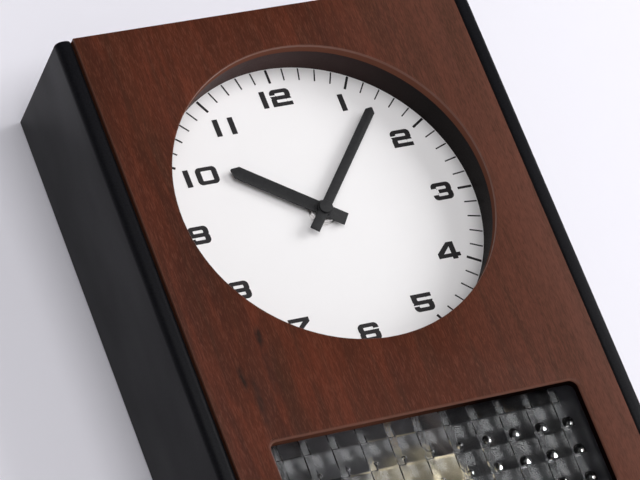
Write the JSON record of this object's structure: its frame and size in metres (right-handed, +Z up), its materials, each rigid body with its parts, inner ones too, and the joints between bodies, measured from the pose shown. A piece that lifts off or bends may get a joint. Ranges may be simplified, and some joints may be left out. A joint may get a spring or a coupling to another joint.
{
  "type": "pendulum wall clock",
  "caption": "Upright box-shaped pendulum clock with a recessed round dial, straight hands and a patterned glass window over a swinging bob.",
  "frame": {"origin": "under the middle of the clock, on the plane of its base", "axes": "+X to the right seen from the front, +Y from the front to the wall, +Z up"},
  "size_m": [0.217, 0.074, 0.34],
  "materials": {
    "case_paint": "satin black paint",
    "panel_veneer": "satin lacquer over reddish-brown veneer",
    "hardboard": "plain hardboard",
    "plain_wood": "plain planed softwood",
    "steel": "zinc-plated",
    "chrome": "bright nickel-plated",
    "ring_plastic": "satin dark brown",
    "dial_enamel": "matt white enamel",
    "dial_print": "matt black print",
    "glass": "clear, smooth in front and squared behind",
    "movement_plastic": "moulded",
    "brass": "satin",
    "wheel_plastic": "natural acetal",
    "can_steel": "nickel-plated",
    "cell_jacket": "plain printed jacket",
    "contact_metal": "nickel-plated spring metal",
    "board_laminate": "solder-resist",
    "coil_wire": "enamelled copper wire",
    "hand_enamel": "matt black",
    "magnet_ferrite": "sintered ferrite",
    "bob_gilt": "satin gilt lacquer"
  },
  "bodies": {
    "case": {"left_side_board": "case_paint", "right_side_board": "case_paint", "top_board": "case_paint", "bottom_board": "case_paint", "front_panel": "panel_veneer", "back_board": "hardboard", "hanging_rail": "plain_wood", "glue_blocks": "plain_wood", "back_screws": "steel", "hanger_plate": "steel", "hanger_screws": "steel", "dial_ring": "ring_plastic", "dial_plate": "dial_enamel", "dial_markings": "dial_print", "dial_screws": "steel", "patterned_glass": "glass", "glass_clips": "steel", "clip_screws": "steel", "movement_case": "movement_plastic", "movement_cover": "movement_plastic", "cover_screws": "steel", "movement_bush": "brass", "bush_washer": "chrome", "bush_nut": "chrome", "motor_can": "can_steel", "battery": "cell_jacket", "battery_contacts": "contact_metal", "circuit_board": "board_laminate", "drive_coil": "coil_wire", "pendulum_pivot": "steel"},
    "minute_work": {"minute_arbor": "brass", "minute_hand": "hand_enamel", "hand_cap": "hand_enamel"},
    "hour_work": {"hour_wheel": "wheel_plastic", "hour_hand": "hand_enamel"},
    "motion_work": {"motion_wheel": "wheel_plastic"},
    "third_work": {"third_wheel": "wheel_plastic"},
    "motor_rotor": {"motor_pinion": "brass"},
    "setting_work": {"setting_shaft": "steel", "setting_knob": "movement_plastic"},
    "pendulum": {"pendulum_leader": "wheel_plastic", "leader_magnet": "magnet_ferrite", "pendulum_rod": "brass", "pendulum_bob": "bob_gilt", "rating_nut": "brass"}
  },
  "joints": [
    {"name": "minute_turn", "type": "hinge", "parent": "case", "child": "minute_work", "pos_m": [0, 0, 0.2375], "axis": [0, 1, 0], "continuous": true},
    {"name": "hour_turn", "type": "hinge", "parent": "case", "child": "hour_work", "pos_m": [0, 0, 0.2375], "axis": [0, 1, 0], "continuous": true},
    {"name": "motion_turn", "type": "hinge", "parent": "case", "child": "motion_work", "pos_m": [-0.00849, 0, 0.24599], "axis": [0, 1, 0], "continuous": true},
    {"name": "third_turn", "type": "hinge", "parent": "case", "child": "third_work", "pos_m": [0.01147, 0, 0.22947], "axis": [0, 1, 0], "continuous": true},
    {"name": "motor_turn", "type": "hinge", "parent": "case", "child": "motor_rotor", "pos_m": [0.00736, 0, 0.21819], "axis": [0, 1, 0], "continuous": true},
    {"name": "setting_turn", "type": "hinge", "parent": "case", "child": "setting_work", "pos_m": [-0.01976, 0, 0.24188], "axis": [0, 1, 0], "continuous": true},
    {"name": "pendulum_swing", "type": "hinge", "parent": "case", "child": "pendulum", "pos_m": [0, 0, 0.18454], "axis": [0, 1, 0], "range_deg": [-8, 8]}
  ],
  "couplings": [
    {"joint": "hour_turn", "follows": "minute_turn", "ratio": 0.083333},
    {"joint": "motion_turn", "follows": "minute_turn", "ratio": -0.33333},
    {"joint": "third_turn", "follows": "minute_turn", "ratio": -6},
    {"joint": "motor_turn", "follows": "minute_turn", "ratio": 30},
    {"joint": "setting_turn", "follows": "minute_turn", "ratio": 1}
  ]
}
